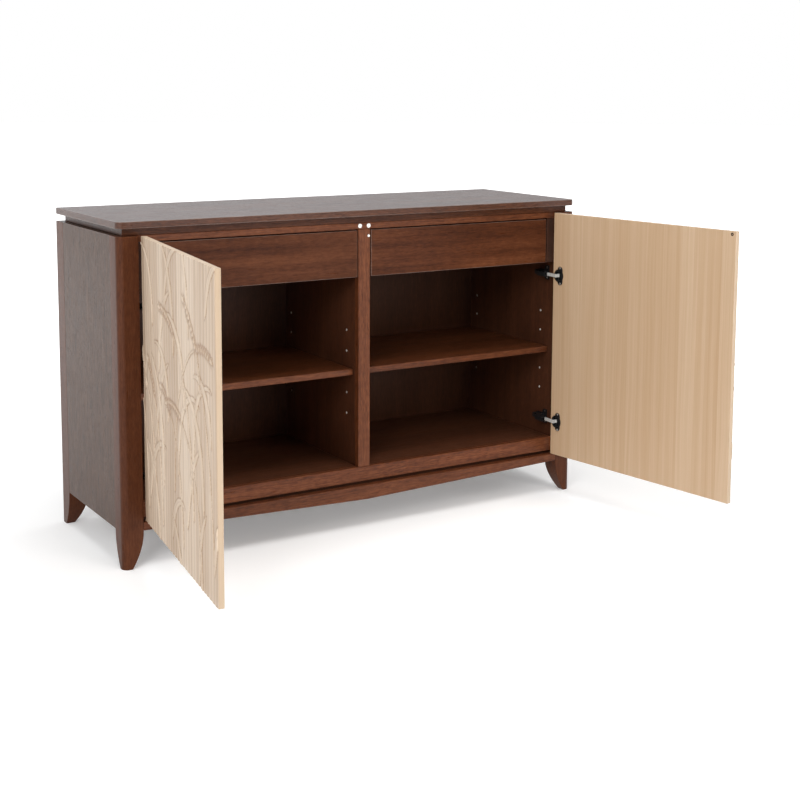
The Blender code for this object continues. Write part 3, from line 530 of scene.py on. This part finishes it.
def corner_post(word, side, end_word, end):
    """A square post that runs down into a foot with two inner faces curving in."""
    heights = [SKIRT_HEIGHT * step / FOOT_STEPS for step in range(FOOT_STEPS + 1)] + [case_top]
    shape = bmesh.new()
    loops = [[shape.verts.new((x, y, z)) for x, y in post_outline(side, end, z)] for z in heights]
    bridge(shape, loops)
    shape.faces.new(loops[0])
    shape.faces.new(loops[-1])
    node = f"{end_word}_{word}_post"
    material = stained_wood(f"walnut_{node}", "z", shaded(WALNUT_TONES, 0.76), ior=1.24, contrast=0.50)
    post = mesh_piece(f"{node}_turned", shape, material, "cabinet", replaces=[node])
    rebate = bmesh.new()
    low_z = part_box("bottom_front_rail")[0].z - CLEARANCE
    seat = rail_front - CLEARANCE if end < 0 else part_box("back_panel")[0].y
    inner = (case_front + post_side + SPARE) if end < 0 else (case_back - post_side - SPARE)
    low = (side * (bay_half - SPARE), seat, low_z)
    high = (side * (bay_half + REBATE_REACH), inner, case_top + SPARE)
    add_box(rebate, low, high)
    cut(post, rebate)
    round_edges(post, BOARD_EDGE, 2, 40.0)


top_slab()
for word, side in SIDES.items():
    for end_word, end in (("front", -1), ("back", 1)):
        corner_post(word, side, end_word, end)


# Boards that keep their CAD shape

def ease(node, width, highlit_worn_edges=False):
    """Joins a CAD node's split corners and softens its sharp edges."""
    thing = frame["nodes"][node]
    normals = thing.data.attributes.get("custom_normal")
    if normals:
        thing.data.attributes.remove(normals)
    thing.data.shade_smooth()
    weld = thing.modifiers.new("weld", "WELD")
    weld.merge_threshold = 0.000002
    flat = thing.modifiers.new("flat", "DECIMATE")
    flat.decimate_type = "DISSOLVE"
    flat.angle_limit = radians(0.5)
    round_edges(thing, width, 2, highlit_worn_edges=highlit_worn_edges)


def dress(node, material, width=BOARD_EDGE, highlit_worn_edges=False):
    """Gives a CAD node its finish and its softened edges."""
    thing = frame["nodes"][node]
    thing.data.materials.clear()
    thing.data.materials.append(material)
    # A flagged node's rounded edges get the lighter edge wood: rubbed wear and a painted highlight
    ease(node, width, highlit_worn_edges)


WALNUT_BOARDS = {
    "x": ["neck_board", "top_panel", "bottom_front_rail", "front_apron", "left_shelf", "right_shelf",
          "left_drawer_front", "right_drawer_front"],
    "z": ["centre_stile", "left_side_panel", "right_side_panel"],
}
DARK_BOARDS = {
    "x": ["recessed_base_moulding", "rear_rail", "bottom_panel",
          "left_drawer_bottom", "right_drawer_bottom"],
    "y": ["left_drawer_spacer", "right_drawer_spacer", "left_drawer_box", "right_drawer_box"],
    "z": ["left_side_liner", "right_side_liner", "centre_divider", "back_panel"],
}
# Each board's share of its wood's tones: partly its own tone, partly painted light and shade for how much
# light reaches it, such as the neck darker under the slab, the bay's inner boards lighter, and the left
# drawer front darker than the right
BOARD_TONE_AND_LIGHT_SHARES = {
    "neck_board": 0.60, "top_panel": 1.05, "bottom_front_rail": 1.25, "centre_stile": 1.10,
    "left_drawer_front": 0.63, "right_drawer_front": 0.74, "rear_rail": 1.25,
    "bottom_panel": 1.90, "centre_divider": 1.80, "left_side_liner": 1.60, "right_side_liner": 1.60,
    "left_drawer_box": 1.55, "right_drawer_box": 1.55, "left_drawer_bottom": 1.30,
    "right_drawer_bottom": 1.30,
}
for boards, tones, roughness, contrast in (
    (WALNUT_BOARDS, WALNUT_TONES, 0.30, 0.90), (DARK_BOARDS, DARK_TONES, 0.38, 0.55)
):
    for along, nodes in boards.items():
        for node in nodes:
            # The board's tones scaled by its share, which carries painted light and shade
            shade = shaded(tones, BOARD_TONE_AND_LIGHT_SHARES.get(node, 1.0))
            name = f"wood_{node}"
            if "side_panel" in node:
                wood = stained_wood(name, along, SIDE_TONES, roughness, 1.24, 0.05, 0.0004)
                dress(node, wood, highlit_worn_edges=True)
            elif "drawer_front" in node:
                wood = stained_wood(name, along, shade, roughness, 1.22, 0.65, flecked=0.32)
                dress(node, wood, DRAWER_EDGE, True)
            else:
                wood = stained_wood(name, along, shade, roughness, contrast=contrast)
                dress(node, wood, highlit_worn_edges="drawer_box" in node)

for node in frame["nodes"]:
    if "slide" in node:
        dress(node, brown_steel, METAL_EDGE)
    elif "hinge_cup" in node or "hinge_arm" in node:
        dress(node, black_steel, METAL_EDGE)
    elif "hinge_link" in node:
        dress(node, satin_nickel, METAL_EDGE)
    elif "latch_tube" in node:
        dress(node, dark_plastic, PLASTIC_EDGE)
    elif "plunger" in node or "bumper" in node:
        dress(node, white_plastic, PLASTIC_EDGE)


# Doors

def spread_lines(length, spacing, edge=CARVED_EDGE):
    """Grid lines along a side, close together at both ends so that the edge can be rounded."""
    ends = [0.0, edge * 0.3, edge * 0.7, edge * 1.3]
    inside = np.linspace(ends[-1], length - ends[-1], int(round(length / spacing)) + 1)
    return np.concatenate([ends[:-1], inside, [length - value for value in reversed(ends[:-1])]])


class Relief:
    """A carved surface on a grid: its height under the door's face, the shade painted into its grooves and
    the highlight painted on its crests.
    """

    def __init__(self, lines_s, lines_z):
        self.lines = lines_s, lines_z
        self.s, self.z = np.meshgrid(lines_s, lines_z, indexing="ij")
        drift = 0.004 * np.sin(self.z * 5.1 + 1.3) + 0.0025 * np.sin(self.z * 11.7 + self.s * 3.0)
        flutes = FLUTE_RISE * np.sin(2 * pi * (self.s + drift) / FLUTE_PITCH)
        gouges = GOUGE_DEPTH * np.sin(2 * pi * (self.s - drift) / GOUGE_PITCH + 2.0 * np.sin(self.z * 23.0))
        self.height = flutes + gouges - CARVING_DEPTH
        # Painted shade in the flutes' hollows and a painted highlight on their ridges
        self.groove_shade = np.clip(-flutes / FLUTE_RISE, 0.0, 1.0) * 0.25
        self.crest_highlight = np.clip(flutes / FLUTE_RISE, 0.0, 1.0) * 0.35

    def part(self, points, reach):
        """The rectangle of the grid within reach of some points."""
        low, high = points.min(axis=0) - reach, points.max(axis=0) + reach
        return tuple(
            slice(*np.searchsorted(line, (low[axis], high[axis]))) for axis, line in enumerate(self.lines)
        )

    def raise_shape(self, part, inside, outside, top, crease):
        """Lays a form over what is there, in a cut line that sets it off; outside is in metres."""
        moat = np.exp(-((outside / MOAT_WIDTH) ** 2)) * ~inside
        height = self.height[part] - MOAT_DEPTH * moat
        self.height[part] = np.where(inside, np.maximum(top - CARVING_DEPTH, height - 0.0004), height)
        # Painted shade in and beside the cut line, reaching wider than the cut, and a painted highlight on
        # the form that grows with its rise; inside the form the crease value is painted shade
        shade = np.exp(-((outside / SHADE_WIDTH) ** 2)) * ~inside
        self.groove_shade[part] = np.where(inside, crease, np.maximum(self.groove_shade[part], shade))
        lit = 0.35 + 0.65 * np.clip(top / BRIGHTEST_RISE, 0.0, 1.0)
        self.crest_highlight[part] = np.where(inside, lit, self.crest_highlight[part] * (1 - moat))

    def stroke(self, points, halves, rise, crease):
        """A long form along a line, with its half width at each point and a crease down the middle."""
        part = self.part(points, halves.max() + 0.006)
        s, z = self.s[part], self.z[part]
        if not s.size:
            return
        nearest, half = np.full(s.shape, 9.0), np.full(s.shape, 0.001)
        for (first, second), (wide, next_wide) in zip(zip(points, points[1:]), zip(halves, halves[1:])):
            run = second - first
            share = ((s - first[0]) * run[0] + (z - first[1]) * run[1]) / (run @ run)
            share = np.clip(share, 0.0, 1.0)
            away = np.hypot(s - first[0] - share * run[0], z - first[1] - share * run[1])
            closer = away < nearest
            nearest = np.where(closer, away, nearest)
            half = np.where(closer, wide + share * (next_wide - wide), half)
        q = nearest / half
        # The crease down the middle is cut into the form and also painted darker
        valley = np.exp(-((q / 0.20) ** 2)) * crease
        top = rise * np.sqrt(np.clip(1.0 - q**2, 0.0, 1.0)) * (1.0 - 0.45 * valley)
        self.raise_shape(part, q < 1.0, np.clip(nearest - half, 0.0, None), top, 0.7 * valley)

    def grain(self, centre, angle, length, width, rise):
        """A seed: a pointed oval lying at an angle from upright."""
        centre = np.array([centre])
        part = self.part(centre, length + 0.006)
        s, z = self.s[part] - centre[0, 0], self.z[part] - centre[0, 1]
        if not s.size:
            return
        along, across = s * sin(angle) + z * cos(angle), s * cos(angle) - z * sin(angle)
        taper = 1.0 + 0.8 * np.clip(2 * along / length, -1.0, 1.0)
        q = np.sqrt((2 * along / length) ** 2 + (2 * across / width) ** 2 * taper)
        top = rise * np.sqrt(np.clip(1.0 - q**2, 0.0, 1.0))
        self.raise_shape(part, q < 1.0, np.clip(q - 1.0, 0.0, None) * width / 2, top, np.zeros_like(q))


def arching(root, lean, droop, length, steps=26):
    """A line that starts near upright and bends over, as points."""
    share = np.linspace(0.0, 1.0, steps)
    angle = lean + droop * share**1.8
    step = length / (steps - 1)
    s = root[0] + np.concatenate([[0.0], np.cumsum(np.sin(angle[:-1]) * step)])
    z = root[1] + np.concatenate([[0.0], np.cumsum(np.cos(angle[:-1]) * step)])
    return np.stack([s, z], axis=-1), angle


def carve(relief, width, height, seed):
    """Arching blades of grass and nodding ears of seed over soft upright flutes."""
    random = np.random.default_rng(seed)
    for number in range(BLADES):
        away = random.choice([-1, 1])
        level = (number * GOLDEN_SHARE) % 1.0
        root = width * (number + random.uniform(0.1, 0.9)) / BLADES, height * (level * 0.98 - 0.12)
        points, _ = arching(root, away * random.uniform(0.03, 0.30), away * random.uniform(0.7, 2.1),
                            height * random.uniform(0.24, 0.46))
        share = np.linspace(0.0, 1.0, len(points))
        halves = 0.0011 + random.uniform(0.0065, 0.0105) * np.sin(pi * share**0.8) ** 0.8
        relief.stroke(points, halves, random.uniform(0.0017, 0.0025), 1.0)
    for number in range(EARS):
        away = random.choice([-1, 1])
        root = width * (number + random.uniform(0.2, 0.8)) / EARS, height * random.uniform(-0.05, 0.30)
        points, angle = arching(root, away * random.uniform(0.0, 0.12), away * random.uniform(0.7, 2.0),
                                height * random.uniform(0.50, 0.86), 40)
        relief.stroke(points, np.linspace(0.0028, 0.0018, len(points)), 0.0017, 0.0)
        for step in range(len(points) - SEED_ROWS, len(points)):
            for turn in (-1, 1):
                tilt = angle[step] + turn * 0.5
                away = tilt + turn * 0.5
                centre = points[step] + SEED_FROM_STALK * np.array([sin(away), cos(away)])
                relief.grain(centre, tilt, *SEED)
        tip = points[-1] + TIP_BEYOND_STALK * np.array([sin(angle[-1]), cos(angle[-1])])
        relief.grain(tip, angle[-1], *TIP_SEED)


def carved_face(word, side, width, low_z, high_z, inset, swing_place, body):
    """The carved outer layer of a door, a closed sheet whose front is the carving."""
    height = high_z - low_z
    relief = Relief(spread_lines(width, GRID_ACROSS), spread_lines(height, GRID_UP))
    carve(relief, width, height, RANDOM_START[word])
    s, z, depth = relief.s, relief.z, -np.clip(relief.height, CARVED_FLOOR - CARVED_LAYER, 0.0)
    border = np.minimum(np.minimum(s, width - s), np.minimum(z, height - z))
    fall = np.clip(CARVED_EDGE - border, 0.0, CARVED_EDGE)
    depth = depth + CARVED_EDGE - np.sqrt(CARVED_EDGE**2 - fall**2)
    count_s, count_z = s.shape
    x = side * inset - side * s
    front = np.stack([x, depth, low_z + z], axis=-1).reshape(-1, 3)
    index = np.arange(count_s * count_z).reshape(count_s, count_z)
    loop = np.concatenate([index[:, 0], index[-1, 1:], index[-2::-1, -1], index[0, -2:0:-1]])
    rim = front[loop].copy()
    rim[:, 1] = CARVED_LAYER
    corners = [index[:-1, :-1], index[1:, :-1], index[1:, 1:], index[:-1, 1:]]
    faces = np.stack(corners, axis=-1).reshape(-1, 4)
    back = np.arange(len(loop)) + len(front)
    after = np.roll(np.arange(len(loop)), -1)
    walls = np.stack([loop, back, back[after], loop[after]], axis=-1)
    mesh = bpy.data.meshes.new(f"{word}_carved_face")
    every = faces.tolist() + walls.tolist() + [back.tolist()]
    mesh.from_pydata(np.concatenate([front, rim]).tolist(), [], every)
    shape = bmesh.new()
    shape.from_mesh(mesh)
    bmesh.ops.recalc_face_normals(shape, faces=shape.faces[:])
    shape.to_mesh(mesh)
    shape.free()
    # The painted shade and the painted highlight, stored on the carved face's points
    for name, values in (("groove_shade", relief.groove_shade), ("crest_highlight", relief.crest_highlight)):
        attribute = mesh.attributes.new(name, "FLOAT", "POINT")
        spread = np.zeros(len(front) + len(rim), np.float32)
        spread[: len(front)] = values.reshape(-1)
        attribute.data.foreach_set("value", spread)
    material = pale_wood(f"maple_carved_{word}", CARVED_MAPLE, carved=True)
    return mesh_object(f"{word}_carved_face", mesh, material, body, swing_place, angle=50.0)


def screw_head_mesh():
    """A raised countersunk head with a cross recess, on +Z, at the origin."""
    shape = bmesh.new()
    profile = [(0.0, -0.0012), (0.0016, -0.0012), (0.0036, 0.0), (0.0037, 0.00025), (0.0031, 0.00060)]
    profile += [(0.0020, 0.00085), (0.0, 0.00095)]
    add_turned(shape, profile, (0.0, 0.0, 0.0), (0, 0, 1), 24)
    head = bpy.data.objects.new("screw_head", as_mesh(shape, "screw_head"))
    bpy.context.scene.collection.objects.link(head)
    slot = bmesh.new()
    arm, half = 0.0019, 0.00042
    quarter = [(arm, -half), (arm, half), (half, half)]
    outline = []
    for _ in range(4):
        outline += quarter
        quarter = [(-y, x) for x, y in quarter]
    add_prism(slot, outline, 0.00015, 0.003)
    cut(head, slot)
    made = head.data
    bpy.data.objects.remove(head)
    return made


def repeated(name, source, places, material, body, carrier=None):
    """One piece made of copies of a mesh at several places."""
    shape = bmesh.new()
    for place in places:
        start = len(shape.verts)
        shape.from_mesh(source)
        shape.verts.ensure_lookup_table()
        bmesh.ops.transform(shape, matrix=place, verts=shape.verts[start:])
    mesh = bpy.data.meshes.new(name)
    shape.to_mesh(mesh)
    shape.free()
    return mesh_object(name, mesh, material, body, carrier)


def facing(point, direction, turn=0.0):
    """A place at a point, with +Z turned to a direction."""
    rotation = Vector(direction).to_track_quat("Z", "Y").to_matrix().to_4x4()
    return Matrix.Translation(point) @ rotation @ Matrix.Rotation(turn, 4, "Z")


screw_head = screw_head_mesh()


def door(word, side):
    """A door of two layers: a board of upright staves, bored for its hinge cups, and a carved face."""
    joint = joints[f"{word}_door_swing"]
    swing = side * radians(-joint["range_deg"][0])
    pivot = Vector((joint["pos_m"][0], joint["pos_m"][1], 0.0))
    place = Matrix.Translation(pivot) @ Matrix.Rotation(swing, 4, "Z")
    panel = frame["nodes"][f"{word}_door_panel"]
    back = place.inverted()
    local = np.array([back @ vertex.co for vertex in panel.data.vertices])
    low, high = local.min(axis=0), local.max(axis=0)
    thick = high[1]
    inset = max(side * low[0], side * high[0])
    width = high[0] - low[0]
    body = f"{word}_door"
    cups = [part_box(f"{word}_{level}_hinge_cup") for level in ("lower", "upper")]
    heights = [(cup_low.z + cup_high.z) / 2 for cup_low, cup_high in cups]

    shape = bmesh.new()
    add_box(shape, (low[0], CARVED_LAYER, low[2]), (high[0], thick, high[2]))
    material = pale_wood(f"maple_{word}", INNER_MAPLE)
    core = mesh_piece(f"{word}_door_board", shape, material, body, place, [f"{word}_door_panel"])
    core.data.materials.append(pale_wood(f"maple_edge_{word}", EDGE_MAPLE))
    for face in core.data.polygons:
        face.material_index = int(abs(face.normal.y) < 0.5)
    bores = bmesh.new()
    bottom, mouth = thick - CUP_BORE_DEPTH, thick + SPARE
    profile = [(0.0, bottom), (CUP_RADIUS, bottom), (CUP_RADIUS, mouth), (0.0, mouth)]
    for z in heights:
        add_turned(bores, profile, (-side * CUP_ALONG, 0.0, z), (0, 1, 0), 48)
    cut(core, bores)
    round_edges(core, BOARD_EDGE, 2, 40.0)
    carved_face(word, side, width, low[2], high[2], inset, place, body)

    screws = [
        facing((-side * CUP_SCREW_ALONG, thick + CUP_FLANGE, z + step * CUP_SCREW_SPREAD), (0, 1, 0), 0.4 + z)
        for z in heights for step in (-1, 1)
    ]
    repeated(f"{word}_cup_screws", screw_head, screws, bright_steel, body, place)

    strike = bmesh.new()
    centre = (-side * (width - inset - STRIKE_FROM_EDGE), thick, latch_z)
    r = STRIKE_RADIUS
    profile = [(0.0, -0.002), (r, -0.002), (r, 0.00005), (r - 0.0004, 0.00015)]
    profile += [(0.0014, 0.00015), (0.0011, -0.0006), (0.0, -0.0006)]
    add_turned(strike, profile, centre, (0, 1, 0), 40)
    mesh_piece(f"{word}_latch_strike", strike, bronze, body, place)


for word, side in SIDES.items():
    door(word, side)


# Hardware in the bays

def sleeve_mesh():
    """A pin hole's sleeve, a short lipped tube on +Z."""
    shape = bmesh.new()
    bore, outer, lip = 0.0021, 0.00265, 0.0034
    profile = [(0.0, -0.0080), (outer, -0.0080), (outer, 0.00005), (lip, 0.00005), (lip, 0.00030)]
    profile += [(lip - 0.0003, 0.00050), (bore + 0.0002, 0.00050), (bore, 0.00030)]
    profile += [(bore, -0.0072), (0.0, -0.0072)]
    add_turned(shape, profile, (0.0, 0.0, 0.0), (0, 0, 1), 28)
    return as_mesh(shape, "sleeve")


def tab_mesh(inward):
    """A bright cover that fits over a spade pin; inward is the way into the wall along X."""
    cover = 0.00012
    top = shelf_under - SHELF_PLAY + cover
    tip = -inward * (PIN_TAB_LENGTH + cover)
    low = top - PIN_LEAF - 2 * cover
    foot = low - PIN_TAB_DROP
    leaf = -inward * (PIN_LEAF + cover)
    root = inward * 0.0002
    shape = bmesh.new()
    outline = [(root, foot), (root, top), (tip, top), (tip, low), (leaf, low), (leaf, foot)]
    half = PIN_TAB_WIDTH / 2 + cover
    add_prism(shape, outline, -half, half, "y")
    return as_mesh(shape, "tab")


sleeve = sleeve_mesh()
walls = {
    "left_wall": (-bay_half, -1),
    "divider_left": (-divider_half, 1),
    "divider_right": (divider_half, -1),
    "right_wall": (bay_half, 1),
}
for name, (x, inward) in walls.items():
    places = [facing((x, y, z), (-inward, 0, 0)) for y in PIN_YS for z in PIN_ROWS_Z]
    repeated(f"{name}_pin_sleeves", sleeve, places, satin_nickel, "cabinet")
    tab = tab_mesh(inward)
    places = [Matrix.Translation((x, y, 0.0)) for y in PIN_YS]
    tabs = repeated(f"{name}_shelf_pins", tab, places, bright_steel, "cabinet")
    round_edges(tabs, TAB_EDGE, 2)

for word in SIDES:
    low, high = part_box(f"{word}_latch_plunger")
    centre = ((low.x + high.x) / 2, rail_front, latch_z)
    bore = (high.x - low.x) / 2 + LATCH_PLAY
    collar = bmesh.new()
    profile = [(bore, 0.0005), (bore, -0.0006), (bore + 0.0004, -0.0009), (LATCH_COLLAR - 0.0008, -0.0009),
               (LATCH_COLLAR, -0.0004), (LATCH_COLLAR, -0.0001), (bore + 0.0002, -0.0001), (bore, 0.0005)]
    add_turned(collar, profile, centre, (0, 1, 0), 40)
    bmesh.ops.remove_doubles(collar, verts=collar.verts[:], dist=0.000001)
    mesh_piece(f"{word}_latch_collar", collar, white_plastic, "cabinet")

for word, side in SIDES.items():
    places = []
    for level in ("lower", "upper"):
        low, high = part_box(f"{word}_{level}_hinge_arm")
        middle = (low.z + high.z) / 2
        wall = high.x if side > 0 else low.x
        for step in (-1, 1):
            seat = wall - side * PLATE_THICK
            screw = (seat, rail_front + PLATE_SCREW_SETBACK, middle + step * PLATE_SCREW_SPREAD)
            places.append(facing(screw, (-side, 0, 0), 0.7 * step + middle))
    repeated(f"{word}_plate_screws", screw_head, places, bright_steel, "cabinet")


# Floor, light and camera

FLOOR_LIFT = 0.19
AMBIENT = 0.52


def floor():
    """A plain pale floor that shows as white to the camera, more so far away, and keeps the shadow."""
    shape = bmesh.new()
    bmesh.ops.create_circle(shape, cap_ends=True, radius=40.0, segments=96)
    mesh = bpy.data.meshes.new("floor")
    shape.to_mesh(mesh)
    shape.free()
    ground = bpy.data.objects.new("floor", mesh)
    bpy.context.scene.collection.objects.link(ground)
    graph = Graph("pale_floor")
    path = graph.node("ShaderNodeLightPath")
    place = graph.node("ShaderNodeTexCoord").outputs["Object"]
    cloud = graph.noise(place, 1.6, 5.0, 0.6)
    shade = graph.spread(cloud, 0.3, 0.7, 0.87, 0.92)
    distance = graph.node("ShaderNodeVectorMath", [(0, place)], operation="LENGTH").outputs["Value"]
    lift = graph.spread(distance, 1.3, 4.5, FLOOR_LIFT, 1.0)
    shown = graph.math("MAXIMUM", path.outputs["Is Camera Ray"], path.outputs["Is Glossy Ray"])
    shown = graph.math("MAXIMUM", shown, path.outputs["Is Transmission Ray"])
    graph.surface(Base_Color=graph.combine(shade, shade, shade), Roughness=0.9, Specular_IOR_Level=0.1)
    glow = graph.math("MULTIPLY", shown, lift)
    graph.surface(Emission_Color=(1.0, 1.0, 1.0, 1.0), Emission_Strength=glow)
    ground.data.materials.append(graph.material)


def world():
    """White to the camera; in reflections it is cool, bright behind the cabinet and dim before it."""
    sky = bpy.data.worlds.new("studio")
    bpy.context.scene.world = sky
    sky.use_nodes = True
    nodes, links = sky.node_tree.nodes, sky.node_tree.links
    background = nodes["Background"]
    background.inputs["Color"].default_value = (1.0, 1.0, 1.0, 1.0)
    path = nodes.new("ShaderNodeLightPath")
    place = nodes.new("ShaderNodeTexCoord")
    split = nodes.new("ShaderNodeSeparateXYZ")
    links.new(place.outputs["Generated"], split.inputs[0])

    def mapped(value, from_low, from_high, to_low, to_high):
        made = nodes.new("ShaderNodeMapRange")
        made.interpolation_type = "SMOOTHSTEP"
        links.new(value, made.inputs["Value"])
        keys = ("From Min", "From Max", "To Min", "To Max")
        for key, number in zip(keys, (from_low, from_high, to_low, to_high)):
            made.inputs[key].default_value = number
        return made.outputs[0]

    def choose(share, first, second):
        made = nodes.new("ShaderNodeMix")
        made.data_type = "FLOAT"
        links.new(share, made.inputs[0])
        for socket, value in ((made.inputs[2], first), (made.inputs[3], second)):
            if isinstance(value, float):
                socket.default_value = value
            else:
                links.new(value, socket)
        return made.outputs[0]

    reflected = nodes.new("ShaderNodeMath")
    reflected.operation = "MULTIPLY"
    links.new(mapped(split.outputs["Y"], -0.5, 0.35, 0.15, 1.0), reflected.inputs[0])
    links.new(mapped(split.outputs["X"], 0.25, 0.75, 1.0, 0.78), reflected.inputs[1])
    seen = choose(path.outputs["Is Glossy Ray"], AMBIENT, reflected.outputs[0])
    seen = choose(path.outputs["Is Transmission Ray"], seen, 1.0)
    strength = choose(path.outputs["Is Camera Ray"], seen, 1.0)
    links.new(strength, background.inputs["Strength"])
    tint = nodes.new("ShaderNodeMix")
    tint.data_type = "RGBA"
    tint.inputs[6].default_value = (1.0, 1.0, 1.0, 1.0)
    tint.inputs[7].default_value = (0.93, 0.97, 1.0, 1.0)
    links.new(path.outputs["Is Glossy Ray"], tint.inputs[0])
    links.new(tint.outputs[2], background.inputs["Color"])


def softbox(name, place, target, size, power, mirrored=True):
    """A soft lamp; one that isn't mirrored leaves no sheen of its own."""
    light = bpy.data.lights.new(name, "AREA")
    light.shape = "RECTANGLE"
    light.size, light.size_y = size
    light.energy = power
    lamp = bpy.data.objects.new(name, light)
    lamp.location = place
    lamp.rotation_euler = (Vector(target) - Vector(place)).to_track_quat("-Z", "Y").to_euler()
    lamp.visible_glossy = mirrored
    bpy.context.scene.collection.objects.link(lamp)


def camera():
    """A camera where the photograph was taken from: low, to the left, and nearly level."""
    image_side, sensor = 800, 36.0
    focal_pixels = 1398.61
    yaw, pitch, roll = -0.55022, -0.12341, 0.0043
    data = bpy.data.cameras.new("camera")
    data.sensor_width = sensor
    data.lens = focal_pixels * sensor / image_side
    data.shift_y = -0.18
    data.clip_end = 200.0
    view = bpy.data.objects.new("camera", data)
    turn = Matrix.Rotation(yaw, 4, "Z") @ Matrix.Rotation(pi / 2 + pitch, 4, "X")
    turn = turn @ Matrix.Rotation(roll, 4, "Z")
    across, before, eye_height = -1.96344, -3.61756, 1.26815
    case_middle = (case_front + case_back) / 2
    view.matrix_world = Matrix.Translation((across, before + case_middle, eye_height)) @ turn
    bpy.context.scene.collection.objects.link(view)
    bpy.context.scene.camera = view


floor()
world()
softbox("key", (-6.0, -5.2, 4.4), (0.0, 0.0, 0.4), (3.6, 3.6), 320.0)
softbox("front", (2.0, -6.5, 1.8), (0.0, 0.0, 0.5), (3.0, 1.8), 170.0, mirrored=False)
softbox("top", (0.0, -0.6, 6.0), (0.0, 0.0, 0.0), (4.0, 4.0), 200.0)
camera()
bpy.context.scene.view_settings.view_transform = "Standard"
